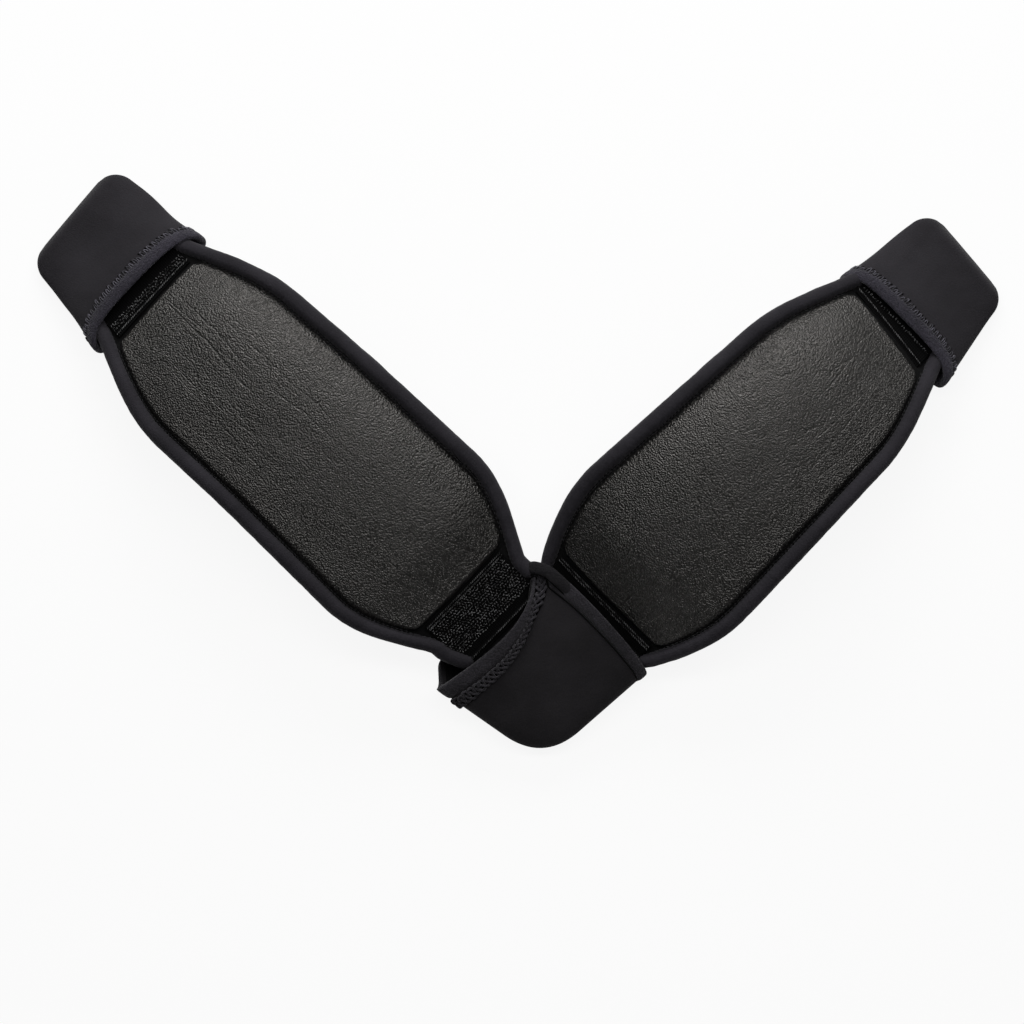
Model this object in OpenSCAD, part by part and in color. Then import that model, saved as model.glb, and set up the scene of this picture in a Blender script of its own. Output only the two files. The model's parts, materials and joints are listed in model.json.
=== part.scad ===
// Pair of arched, padded strap grips joined in a V.
// The origin is the axis of the shared apex hole, on the plane that the part rests on.
// Each strap has its own frame: +X runs outward from the apex hole, +Y points into the V.

/* [Layout] */
// Direction of the left strap, counterclockwise from +X
left_angle = 136.2; // [134:0.1:140]
// Direction of the right strap, counterclockwise from +X
right_angle = 44.4; // [42:0.1:46]
// Apex hole to the left strap's outer hole
left_span = 257; // [252:1:262]
// Apex hole to the right strap's outer hole
right_span = 233; // [228:1:238]
// Height of the left arch, to the middle of the pad
left_peak = 29.5; // [26:0.5:34]
// Height of the right arch, to the middle of the pad
right_peak = 33.7; // [30:0.1:38]

/* [Pads] */
// Half-width of a pad at its ends
pad_end_half = 27.5; // [26:0.1:28]
// Loss of that half-width from a strap's apex end to its outer end: left strap
left_end_loss = 0.4; // [0:0.1:1]
// Loss of that half-width from a strap's apex end to its outer end: right strap
right_end_loss = 1.6; // [0.8:0.1:2]
// Half-width of a pad in its middle
pad_mid_half = 43.8; // [40:0.1:45]
// Loss of half-width from the left pad's apex end to its outer end
left_narrowing = 1.2; // [0:0.1:2]
// Loss of half-width from the right pad's apex end to its outer end
right_narrowing = 3.0; // [0:0.1:4]
// Corner rounding of a pad's hidden ends
pad_corner = 10; // [8:0.5:12]
// Width of the edge binding seen from above
binding_width = 7; // [6:0.1:8]
// Thickness of the binding tape
binding_wall = 1; // [0.8:0.1:1.2]
// Thickness of the leather face and of the loop tapes
leather_thick = 1.2; // [1:0.1:1.4]
// Thickness of the foam core above the webbing
foam_thick = 2.1; // [1.8:0.1:2.4]
// Thickness of the lining
lining_thick = 1.5; // [1.2:0.1:1.8]

/* [Webbing and eyelets] */
// Width of the webbing band inside each pad
band_width = 38; // [34:1:38]
// Thickness of the webbing band
band_thick = 1.6; // [1.4:0.1:1.8]
// Webbing left past the centre of each hole
tab_length = 9; // [8.5:0.5:9.5]
// Radius of the clear hole through an eyelet
hole_r = 3.25; // [2.75:0.05:3.3]
// Radius of an eyelet's barrel, and of the hole it fills in the webbing
barrel_r = 4.4; // [4.2:0.1:4.6]
// Radius of an eyelet's flanges
flange_r = 6.5; // [6:0.1:6.6]
// Thickness of one flange
flange_thick = 0.9; // [0.8:0.1:1]

/* [Sleeves] */
// Thickness of the neoprene walls and roof
sleeve_wall = 2.5; // [2:0.1:2.6]
// Thickness of the neoprene floor
sleeve_floor = 2.2; // [2:0.1:2.2]
// Extra thickness of a folded hem
hem_extra = 0.7; // [0.4:0.1:0.8]
// Width of a folded hem along the strap
hem_width = 5; // [4:0.5:6]
// Width of the slot in the floor under each hole
slot_width = 14; // [13.6:0.1:16]
// Length of the floor slot past the centre of the hole
slot_past_hole = 7.5; // [7:0.1:8]
// Thickness of the hook tape inside a sleeve
hook_thick = 1.2; // [1:0.1:1.4]

/* [Hidden] */
$fn = 64;

// Layers of a strap, measured upward from its middle line
layer_top = foam_thick - 0.1;
face_top = layer_top + leather_thick;
band_top = -0.1;
band_bottom = band_top - band_thick;
face_bottom = band_bottom - lining_thick;
binding_top = face_top + binding_wall;
binding_bottom = face_bottom - binding_wall;
edge_inset = 1.2;

// Middle-line heights of the flat tabs: the left apex tab is stacked on the right one
stack_gap = 0.3;
tab_z = sleeve_floor - 0.1 + flange_thick - band_bottom;
stacked_tab_z = tab_z + band_thick + 2 * flange_thick + stack_gap;

// Radius of the concave bend between a flat tab and the arch
heel_r = 30;
// Length of one straight piece of a bent layer
step = 6;
// Reach of the cutting shapes: across a strap, upward, and past a sleeve's own mouth
wide = 130;
tall = 60;
past_mouth = 20;

// One strap: hole span, place and height of the peak, tab heights, where the bends
// start, pad ends, leather ends, and the lengths over which the pad widens
left = [
    ["span", left_span], ["peak_s", left_span / 2], ["peak_z", left_peak],
    ["tab_in", stacked_tab_z], ["tab_out", tab_z], ["bend_in", 7],
    ["pad_in", 21], ["pad_out", left_span - 19],
    ["face_in", 47], ["face_out", left_span - 35.6],
    ["widen_in", 42], ["widen_out", 52], ["neck_in", 36], ["neck_out", left_span - 29],
    ["narrowing", left_narrowing], ["end_loss", left_end_loss]
];
right = [
    ["span", right_span], ["peak_s", right_span / 2 + 7], ["peak_z", right_peak],
    ["tab_in", tab_z], ["tab_out", tab_z], ["bend_in", 13],
    ["pad_in", 25], ["pad_out", right_span - 19],
    ["face_in", 40.4], ["face_out", right_span - 32],
    ["widen_in", 40], ["widen_out", 48], ["neck_in", 25], ["neck_out", right_span - 33],
    ["narrowing", right_narrowing], ["end_loss", right_end_loss]
];
function get(table, key) = [for (row = table) if (row[0] == key) row[1]][0];

// One end sleeve: mouth at the floor and at the roof, far end at its inner and outer
// side, half-widths, sideways shift, roof heights, and where the roof starts to rise
bend_out = 7;
function end_sleeve_table(strap, lip, mouth, far_inner, far_outer, mouth_half, far_half, shift) = [
    ["hole", get(strap, "span")], ["lip", get(strap, "span") - lip],
    ["mouth", get(strap, "span") - mouth],
    ["far_inner", get(strap, "span") + far_inner],
    ["far_outer", get(strap, "span") + far_outer],
    ["mouth_half", mouth_half], ["far_half", far_half], ["shift", shift],
    ["far_z", 10], ["mouth_z", 19.5], ["knee", get(strap, "span") + 5]
];
left_pocket = end_sleeve_table(left, 37, 25, 14.5, 12.5, 33, 25.5, 0);
right_pocket = end_sleeve_table(right, 33, 25, 15.5, 12, 31.8, 25, -0.8);
pocket_corner = 8;

// Apex sleeve: roof heights at its closed corner and at its two mouths
apex_low_z = 11;
apex_low_s = -28;
apex_left_mouth = 19;
apex_left_lip = 30;
apex_left_z = 19.5;
apex_right_mouth = 33;
apex_right_lip = 22;
apex_right_z = 20;
apex_corner = 26;
apex_window = 16;
// Reach of the apex sleeve's own outlines, from the apex hole
apex_reach = 70;
// Hook tape in the apex sleeve, in the left strap's frame: start, outer side, length, width
apex_hook = [2, -26, 11, 28];
// Hook tape in an end sleeve: its distance behind the hem, length and half-width
end_hook = [2, 16, 21];

// ---- the bent middle line -------------------------------------------------------

// Half of an arch: [run, rise, tab height, angle of its steepest place, crown radius]
function half_arch(strap, s) =
    let (inner = s <= get(strap, "peak_s"),
         start = inner ? get(strap, "bend_in") : get(strap, "span") - bend_out,
         run = abs(get(strap, "peak_s") - start),
         tab = get(strap, inner ? "tab_in" : "tab_out"),
         rise = get(strap, "peak_z") - tab,
         steep = 2 * atan(rise / run))
    [run, rise, tab, steep, run / sin(steep) - heel_r];

function middle_z(strap, s) =
    let (h = half_arch(strap, s), d = abs(s - get(strap, "peak_s")), crown = h[4])
    d >= h[0] ? h[2] :
    d <= crown * sin(h[3]) ? get(strap, "peak_z") - crown + sqrt(crown * crown - d * d) :
    h[2] + heel_r - sqrt(heel_r * heel_r - pow(h[0] - d, 2));

function slope(strap, s) =
    let (h = half_arch(strap, s), d = abs(s - get(strap, "peak_s")), crown = h[4],
         angle = d >= h[0] ? 0 :
                 d <= crown * sin(h[3]) ? asin(d / crown) : asin((h[0] - d) / heel_r))
    s < get(strap, "peak_s") ? angle : -angle;

// A point above the middle line at s, by an offset square to it
function above(strap, s, offset) =
    [s - offset * sin(slope(strap, s)), middle_z(strap, s) + offset * cos(slope(strap, s))];

// Evenly spaced places from one up to another, which is left out
function stations(from, to) =
    let (n = ceil((to - from) / step)) [for (i = [0:n - 1]) from + (to - from) * i / n];

function reversed(list) = [for (i = [len(list) - 1:-1:0]) list[i]];

// ---- shapes that both straps share ----------------------------------------------

module left_strap() rotate([0, 0, left_angle]) mirror([0, 1, 0]) children();
module right_strap() rotate([0, 0, right_angle]) children();

// Side-view outline made as wide as the strap, and plan outline made as tall as it
module across(points) rotate([90, 0, 0]) linear_extrude(2 * wide, center = true) polygon(points);
module upright(points) linear_extrude(tall) polygon(points);

// Everything between two offsets from the bent middle line
module layer(strap, low, high) {
    past = tab_length + 5;
    run = concat(stations(-past, get(strap, "bend_in")),
                 stations(get(strap, "bend_in"), get(strap, "span") - bend_out),
                 stations(get(strap, "span") - bend_out, get(strap, "span") + past));
    across(concat([for (s = run) above(strap, s, high)],
                  reversed([for (s = run) above(strap, s, low)])));
}

// Share of the full widening at distance x into a ramp of the given length
function ease(x, length) = pow(sin(90 * min(1, max(0, x / length))), 1.3);

function pad_half(strap, s) =
    let (full = pad_mid_half - get(strap, "narrowing") * s / get(strap, "span"),
         ends = pad_end_half - get(strap, "end_loss") * s / get(strap, "span"),
         widening = ease(s - get(strap, "neck_in"), get(strap, "widen_in"))
                  * ease(get(strap, "neck_out") - s, get(strap, "widen_out")),
         end = min(pad_corner, s - get(strap, "pad_in"), get(strap, "pad_out") - s),
         round_off = pad_corner - sqrt(pow(pad_corner, 2) - pow(pad_corner - max(0, end), 2)))
    ends + (full - ends) * widening - round_off;

// Stations of a pad's outline, closer together at its rounded ends
function pad_stations(strap) =
    let (a = get(strap, "pad_in"), b = get(strap, "pad_out"))
    concat([for (d = [0, 0.8, 2.5, 5]) a + d], stations(a + pad_corner, b - pad_corner),
           [for (d = [pad_corner, 5, 2.5, 0.8, 0]) b - d]);

function pad_outline(strap, inset) =
    let (run = pad_stations(strap))
    concat([for (s = run) [s, inset - pad_half(strap, s)]],
           reversed([for (s = run) [s, pad_half(strap, s) - inset]]));

// The strip of a pad's outline that one binding covers; side is 1 inside the V
function binding_outline(strap, side) =
    let (run = pad_stations(strap))
    concat([for (s = run) [s, side * pad_half(strap, s)]],
           reversed([for (s = run) [s, side * (pad_half(strap, s) - binding_width)]]));

function stretch(from, to, half) = [[from, -half], [to, -half], [to, half], [from, half]];

// A strip with both ends rounded, as a plan outline
function rounded_strip(from, to, half, r) =
    let (corners = [[to - r, half - r, 0], [from + r, half - r, 90],
                    [from + r, r - half, 180], [to - r, r - half, 270]])
    [for (c = corners) for (a = [0:15:90]) [c[0] + r * cos(c[2] + a), c[1] + r * sin(c[2] + a)]];

// ---- sub-parts of a strap -------------------------------------------------------

module pad_panel(strap, low, high, from, to) {
    intersection() {
        layer(strap, low, high);
        upright(pad_outline(strap, edge_inset));
        upright(stretch(from, to, wide));
    }
}

// The space that the webbing takes on its way through a pad
module band_channel(strap) {
    intersection() {
        layer(strap, band_bottom, band_top);
        upright(stretch(-wide, 3 * wide, band_width / 2));
    }
}

module leather_face(strap) {
    color([0.14, 0.14, 0.14])
        pad_panel(strap, layer_top, face_top, get(strap, "face_in"), get(strap, "face_out"));
}

module apex_loop_tape(strap) {
    color([0.06, 0.06, 0.07])
        pad_panel(strap, layer_top, face_top, get(strap, "pad_in"), get(strap, "face_in"));
}

module end_loop_tape(strap) {
    color([0.06, 0.06, 0.07])
        pad_panel(strap, layer_top, face_top, get(strap, "face_out"), get(strap, "pad_out"));
}

module foam_core(strap) {
    color([0.25, 0.25, 0.27]) difference() {
        pad_panel(strap, band_bottom, layer_top, get(strap, "pad_in"), get(strap, "pad_out"));
        band_channel(strap);
    }
}

module lining(strap) {
    color([0.1, 0.1, 0.12])
        pad_panel(strap, face_bottom, band_bottom, get(strap, "pad_in"), get(strap, "pad_out"));
}

module binding(strap, side) {
    color([0.12, 0.11, 0.15]) difference() {
        intersection() {
            layer(strap, binding_bottom, binding_top);
            upright(binding_outline(strap, side));
        }
        intersection() {
            layer(strap, face_bottom, face_top);
            upright(pad_outline(strap, edge_inset));
        }
        band_channel(strap);
    }
}

module inner_band(strap) {
    span = get(strap, "span");
    color([0.05, 0.05, 0.05]) difference() {
        intersection() {
            layer(strap, band_bottom, band_top);
            upright(rounded_strip(-tab_length, span + tab_length, band_width / 2, 8));
        }
        for (s = [0, span]) translate([s, 0, 0]) cylinder(r = barrel_r, h = tall);
    }
}

// An eyelet clinched through the webbing of a flat tab
module eyelet(s, middle) {
    length = band_thick + 2 * flange_thick;
    color([0.3, 0.3, 0.32]) translate([s, 0, middle + band_bottom - flange_thick]) difference() {
        union() {
            cylinder(r = flange_r, h = flange_thick);
            cylinder(r = barrel_r, h = length);
            translate([0, 0, length - flange_thick]) cylinder(r = flange_r, h = flange_thick);
        }
        translate([0, 0, -1]) cylinder(r = hole_r, h = length + 2);
    }
}

// ---- end sleeves ----------------------------------------------------------------

// Plan outline of a pocket, rounded at its far corners and run on past its mouth
function pocket_outline(p, grow) =
    let (start = get(p, "lip") - past_mouth, r = pocket_corner,
         taper = (get(p, "mouth_half") - get(p, "far_half")) / (get(p, "far_inner") - get(p, "lip")),
         start_half = get(p, "mouth_half") + past_mouth * taper + grow, half = get(p, "far_half") + grow,
         outline = concat([[start, -start_half]],
             [for (a = [-90:15:0]) [get(p, "far_outer") + grow - r + r * cos(a), r - half + r * sin(a)]],
             [for (a = [0:15:90]) [get(p, "far_inner") + grow - r + r * cos(a), half - r + r * sin(a)]],
             [[start, start_half]]))
    [for (point = outline) point + [0, get(p, "shift")]];

function pocket_roof(p, s) =
    let (rise = (get(p, "mouth_z") - get(p, "far_z")) / (get(p, "knee") - get(p, "mouth")))
    get(p, "far_z") + max(0, get(p, "knee") - s) * rise;

// The outer block of a pocket, or with a negative growth and a floor the hollow in it
module pocket_body(p, grow, floor) {
    run = [get(p, "lip") - past_mouth, get(p, "knee"), get(p, "far_inner") + 5];
    intersection() {
        upright(pocket_outline(p, grow));
        across(concat([[run[2], floor], [run[0], floor]],
                      [for (s = run) [s, pocket_roof(p, s) + grow]]));
    }
}

// The slice between two distances past a leaning mouth, which crosses the floor at lip
module mouth_zone(lip, lean, from, to) {
    across([[lip + from - lean, -1], [lip + to - lean, -1],
            [lip + to + lean * tall, tall], [lip + from + lean * tall, tall]]);
}

module pocket_shell(p, grow, from, to) {
    lean = (get(p, "mouth") - get(p, "lip")) / get(p, "mouth_z");
    difference() {
        intersection() {
            pocket_body(p, grow, 0);
            mouth_zone(get(p, "lip"), lean, from, to);
        }
        pocket_body(p, -sleeve_wall, sleeve_floor);
        translate([0, 0, -1]) linear_extrude(sleeve_floor + 2) polygon(rounded_strip(
            get(p, "lip") - past_mouth, get(p, "hole") + slot_past_hole, slot_width / 2, 5));
    }
}

module end_sleeve(p) {
    color([0.13, 0.12, 0.15]) pocket_shell(p, 0, hem_width, wide);
}

module end_hem(p) {
    color([0.15, 0.14, 0.18]) pocket_shell(p, hem_extra, 0, hem_width);
}

// Hook tape bonded under the roof, just inside the mouth
module end_hook_tape(p) {
    from = get(p, "mouth") + hem_width + end_hook[0];
    run = [from, from + end_hook[1]];
    color([0.05, 0.05, 0.06]) intersection() {
        across(concat([for (s = run) [s, pocket_roof(p, s) - sleeve_wall]],
                      [for (s = reversed(run)) [s, pocket_roof(p, s) - sleeve_wall - hook_thick]]));
        upright(stretch(0, 3 * wide, end_hook[2]));
    }
}

// ---- apex sleeve ----------------------------------------------------------------

// Half-plane inside a side wall that leans away from its strap, as a plan outline
function wall_side(at_low, at_mouth, mouth) =
    let (taper = (at_mouth - at_low) / (mouth - apex_low_s), half = at_low - taper * apex_low_s)
    [[-apex_reach, -half + apex_reach * taper], [apex_reach, -half - apex_reach * taper],
     [apex_reach, apex_reach], [-apex_reach, apex_reach]];

module apex_plan(grow) {
    offset(r = apex_corner + grow) offset(delta = -apex_corner) intersection() {
        rotate(right_angle) polygon(wall_side(30.1, 32.8, 29));
        rotate(left_angle) mirror([0, 1]) polygon(wall_side(28.1, 37.3, 27));
    }
}

// Side-view outline under a roof that rises from the closed corner to a mouth
function apex_side(mouth, mouth_z, grow, floor) =
    let (rise = (mouth_z - apex_low_z) / (mouth - apex_low_s),
         low = apex_low_z - rise * (apex_reach + apex_low_s), high = low + 2 * rise * apex_reach)
    [[-apex_reach, floor], [apex_reach, floor],
     [apex_reach, high + grow], [-apex_reach, low + grow]];

module apex_body(grow, floor) {
    intersection() {
        linear_extrude(tall) apex_plan(grow);
        union() {
            left_strap() across(apex_side(apex_left_mouth, apex_left_z, grow, floor));
            right_strap() across(apex_side(apex_right_mouth, apex_right_z, grow, floor));
        }
    }
}

module apex_zones(left_from, left_to, right_from, right_to) {
    left_lean = (apex_left_mouth - apex_left_lip) / apex_left_z;
    right_lean = (apex_right_mouth - apex_right_lip) / apex_right_z;
    intersection() {
        left_strap() mouth_zone(apex_left_lip, left_lean, left_from, left_to);
        right_strap() mouth_zone(apex_right_lip, right_lean, right_from, right_to);
    }
}

module apex_shell(grow, left_from, left_to, right_from, right_to) {
    difference() {
        intersection() {
            apex_body(grow, 0);
            apex_zones(left_from, left_to, right_from, right_to);
        }
        apex_body(-sleeve_wall, sleeve_floor);
        translate([0, 0, -1]) linear_extrude(sleeve_floor + 2)
            polygon(rounded_strip(-apex_window / 2, apex_window / 2, apex_window / 2, 4));
    }
}

module apex_sleeve() {
    color([0.13, 0.12, 0.15]) apex_shell(0, -wide, -hem_width, -wide, -hem_width);
}

module apex_left_hem() {
    color([0.15, 0.14, 0.18]) apex_shell(hem_extra, -hem_width, 0, -wide, 0);
}

module apex_right_hem() {
    color([0.15, 0.14, 0.18]) apex_shell(hem_extra, -wide, -hem_width, -hem_width, 0);
}

// Hook tape bonded under the roof, behind the left mouth
module apex_hook_tape() {
    low = -sleeve_wall - hook_thick;
    color([0.05, 0.05, 0.06]) left_strap() intersection() {
        difference() {
            across(apex_side(apex_left_mouth, apex_left_z, -sleeve_wall, 0));
            across(apex_side(apex_left_mouth, apex_left_z, low, -1));
        }
        translate([apex_hook[0], apex_hook[1], 0]) cube([apex_hook[2], apex_hook[3], tall]);
    }
}

// ---- one module for each node ---------------------------------------------------

module left_leather_face() left_strap() leather_face(left);
module left_foam_core() left_strap() foam_core(left);
module left_lining() left_strap() lining(left);
module left_inner_binding() left_strap() binding(left, 1);
module left_outer_binding() left_strap() binding(left, -1);
module left_inner_band() left_strap() inner_band(left);
module left_apex_loop_tape() left_strap() apex_loop_tape(left);
module left_end_loop_tape() left_strap() end_loop_tape(left);
module left_apex_eyelet() left_strap() eyelet(0, get(left, "tab_in"));
module left_end_eyelet() left_strap() eyelet(left_span, get(left, "tab_out"));

module right_leather_face() right_strap() leather_face(right);
module right_foam_core() right_strap() foam_core(right);
module right_lining() right_strap() lining(right);
module right_inner_binding() right_strap() binding(right, 1);
module right_outer_binding() right_strap() binding(right, -1);
module right_inner_band() right_strap() inner_band(right);
module right_apex_loop_tape() right_strap() apex_loop_tape(right);
module right_end_loop_tape() right_strap() end_loop_tape(right);
module right_apex_eyelet() right_strap() eyelet(0, get(right, "tab_in"));
module right_end_eyelet() right_strap() eyelet(right_span, get(right, "tab_out"));

module left_end_sleeve() left_strap() end_sleeve(left_pocket);
module left_end_hem() left_strap() end_hem(left_pocket);
module left_end_hook_tape() left_strap() end_hook_tape(left_pocket);
module right_end_sleeve() right_strap() end_sleeve(right_pocket);
module right_end_hem() right_strap() end_hem(right_pocket);
module right_end_hook_tape() right_strap() end_hook_tape(right_pocket);

left_leather_face();
left_foam_core();
left_lining();
left_inner_binding();
left_outer_binding();
left_inner_band();
left_apex_loop_tape();
left_end_loop_tape();
left_apex_eyelet();
left_end_eyelet();
right_leather_face();
right_foam_core();
right_lining();
right_inner_binding();
right_outer_binding();
right_inner_band();
right_apex_loop_tape();
right_end_loop_tape();
right_apex_eyelet();
right_end_eyelet();
left_end_sleeve();
left_end_hem();
left_end_hook_tape();
right_end_sleeve();
right_end_hem();
right_end_hook_tape();
apex_sleeve();
apex_left_hem();
apex_right_hem();
apex_hook_tape();
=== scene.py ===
import json
import math

import bmesh
import bpy
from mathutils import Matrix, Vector, noise


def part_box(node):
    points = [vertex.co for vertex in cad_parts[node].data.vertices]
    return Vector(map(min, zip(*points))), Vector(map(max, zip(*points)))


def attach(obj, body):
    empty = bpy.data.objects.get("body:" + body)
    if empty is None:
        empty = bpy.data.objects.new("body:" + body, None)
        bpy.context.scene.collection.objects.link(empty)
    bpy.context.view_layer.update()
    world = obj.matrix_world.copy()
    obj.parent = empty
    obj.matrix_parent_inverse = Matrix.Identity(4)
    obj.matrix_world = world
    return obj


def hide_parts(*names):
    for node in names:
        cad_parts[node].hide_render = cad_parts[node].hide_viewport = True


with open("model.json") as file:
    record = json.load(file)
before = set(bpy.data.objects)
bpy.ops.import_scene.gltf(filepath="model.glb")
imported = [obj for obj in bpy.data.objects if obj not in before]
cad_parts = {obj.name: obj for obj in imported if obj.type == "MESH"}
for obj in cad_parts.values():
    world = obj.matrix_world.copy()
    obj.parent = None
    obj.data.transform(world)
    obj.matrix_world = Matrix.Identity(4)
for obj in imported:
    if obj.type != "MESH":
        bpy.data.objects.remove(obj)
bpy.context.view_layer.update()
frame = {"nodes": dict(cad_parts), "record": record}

MM = 0.001
UP = Vector((0, 0, 1))
FULL_TURN = 2 * math.pi


# ---- the frame's own places -----------------------------------------------------

HOLES = {mount["name"]: Vector(mount["pos_m"]) for mount in frame["record"]["mounts"]}


def smooth(x):
    """Rises smoothly from 0 to 1 as x does."""
    x = min(1, max(0, x))
    return x * x * (3 - 2 * x)


def lump(x, y, z, seed=0):
    """Smooth noise from -1 to 1."""
    return noise.noise(Vector((x + 17.3 * seed, y - 5.1 * seed, z)))


def steps(start, stop, step):
    """Numbers from start up to stop, a step apart."""
    while start < stop:
        yield start
        start += step


class Strap:
    """One arched strap in its own frame, in millimetres: s runs out from the apex hole
    along the strap, v points into the V, and off is square to the bent middle line.

    The pad runs from pad_in to pad_out and its leather from face_in to face_out. Its
    half-width is end_in and end_out at the ends, less tuck at the tips, and swells to
    mid_half between the two necks, less narrowing over the strap's length. peak_shift
    moves the top of the arch outward, drift moves the outer half aside, and slant leans
    the outer end of the leather. The inner binding starts at inner_start, the apex tape's
    nap at nap_start, and the end tape's nap ends nap_wide past the leather. swing_room
    moves the start of the outer binding in, clear of the sleeve that the strap swings in."""

    heel = 30                   # radius of the bend between the arch and a flat tab
    bend_out = 7                # from the outer bend to the end hole
    tab_z = 4.7                 # height of the outer tab
    top_to_middle = 3.2         # from the top of the leather down to the middle line
    pad_to_hole = 19            # from the outer end of the pad to the end hole
    drift_start, drift_run = 130, 60
    slant_run = 50
    tuck_run_in, tuck_run_out = 10, 12
    shoulder = 1.1              # how slowly the pad leaves its necks

    def __init__(self, name, mirrored, **sizes):
        self.name = name
        self.mirrored = mirrored
        self.__dict__.update(sizes)
        hole = HOLES[name + "_end_hole"]
        self.span = Vector((hole.x, hole.y)).length / MM
        self.turn = math.atan2(hole.y, hole.x)
        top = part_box(name + "_leather_face")[1].z / MM
        self.peak_z = top - self.top_to_middle
        self.peak_s = self.span / 2 + self.peak_shift
        self.pad_out = self.span - self.pad_to_hole

    def half_arch(self, s):
        """For the half of the arch that s is on: its run, the height of its tab, its
        steepest angle and the radius of its crown."""
        inner = s <= self.peak_s
        start = self.bend_in if inner else self.span - self.bend_out
        run = abs(self.peak_s - start)
        tab = self.tab_in if inner else self.tab_z
        steep = 2 * math.atan((self.peak_z - tab) / run)
        return run, tab, steep, run / math.sin(steep) - self.heel

    def middle(self, s):
        """Height of the middle line, and its slope as an angle."""
        run, tab, steep, crown = self.half_arch(s)
        d = abs(s - self.peak_s)
        side = 1 if s < self.peak_s else -1
        if d >= run:
            return tab, 0
        if d <= crown * math.sin(steep):
            return self.peak_z - crown + math.sqrt(crown**2 - d**2), side * math.asin(d / crown)
        rest = run - d
        return tab + self.heel - math.sqrt(self.heel**2 - rest**2), side * math.asin(rest / self.heel)

    def world(self, x, y, z):
        """A point of the strap's frame, in metres in the part's own frame."""
        y = -y if self.mirrored else y
        c, k = math.cos(self.turn), math.sin(self.turn)
        return Vector((c * x - k * y, k * x + c * y, z)) * MM

    def place(self, s, v, off):
        """A point of the bent strap, in metres."""
        z, slope = self.middle(s)
        drift = self.drift * smooth((s - self.drift_start) / self.drift_run)
        return self.world(s - off * math.sin(slope), v + drift, z + off * math.cos(slope))

    def slanted(self, s, v):
        """Moves a place near the outer end back toward the apex, more on the outer side."""
        start, pad = self.face_out - self.slant_run, self.pad_out - self.face_out
        weight = smooth((s - start) / self.slant_run) * (1 - max(0, (s - self.face_out) / pad))
        return s - self.slant * (0.5 - 0.5 * v / self.half(s)) * weight

    def half(self, s):
        """Half-width of the pad."""
        def ease(x):
            return math.sin(math.pi / 2 * min(1, max(0, x))) ** self.shoulder

        full = self.mid_half - self.narrowing * s / self.span
        wide = ease((s - self.neck_in) / self.widen_in) * ease((self.neck_out - s) / self.widen_out)
        t = (s - self.pad_in) / (self.pad_out - self.pad_in)
        ends = self.end_in + (self.end_out - self.end_in) * t
        tuck_in = self.tuck * (1 - smooth((s - self.pad_in) / self.tuck_run_in))
        tuck_out = self.tuck * (1 - smooth((self.pad_out - s) / self.tuck_run_out))
        return ends + (full - ends) * wide - tuck_in - tuck_out


LEFT = Strap(
    "left", mirrored=True, peak_shift=0, bend_in=7, tab_in=8.4, pad_in=21, face_in=47, face_out=219.2,
    neck_in=36.7, neck_out=227.7, widen_in=44, widen_out=50, mid_half=46.0, narrowing=4.6,
    end_in=27.8, end_out=27.6, tuck=2.5, drift=-1.6, slant=0.8,
    inner_start=28.5, nap_start=27.9, nap_wide=5.0, swing_room=1.6,
)
RIGHT = Strap(
    "right", mirrored=False, peak_shift=7, bend_in=13, tab_in=4.7, pad_in=25, face_in=39.6, face_out=200.2,
    neck_in=23.9, neck_out=205.3, widen_in=50, widen_out=48, mid_half=48.0, narrowing=10.9,
    end_in=28.4, end_out=26.6, tuck=2.0, drift=-0.5, slant=6.0,
    inner_start=26, nap_start=36.6, nap_wide=2.6, swing_room=0.0,
)
STRAPS = (LEFT, RIGHT)
EDGE = 7.0              # width of the rolled binding seen from above
STITCH = 1.75           # from one stitch of a binding's seam to the next


# ---- shader expressions ---------------------------------------------------------

class Val:
    """A shader socket that numbers and other sockets can be added to."""

    def __init__(self, mat, socket):
        self.mat, self.socket = mat, socket

    def _math(self, kind, a, b):
        return self.mat.node("ShaderNodeMath", {"operation": kind}, {0: a, 1: b})

    def __add__(self, other):
        return self._math("ADD", self, other)

    def __sub__(self, other):
        return self._math("SUBTRACT", self, other)

    def __rsub__(self, other):
        return self._math("SUBTRACT", other, self)

    def __mul__(self, other):
        return self._math("MULTIPLY", self, other)

    __radd__ = __add__
    __rmul__ = __mul__


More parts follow.
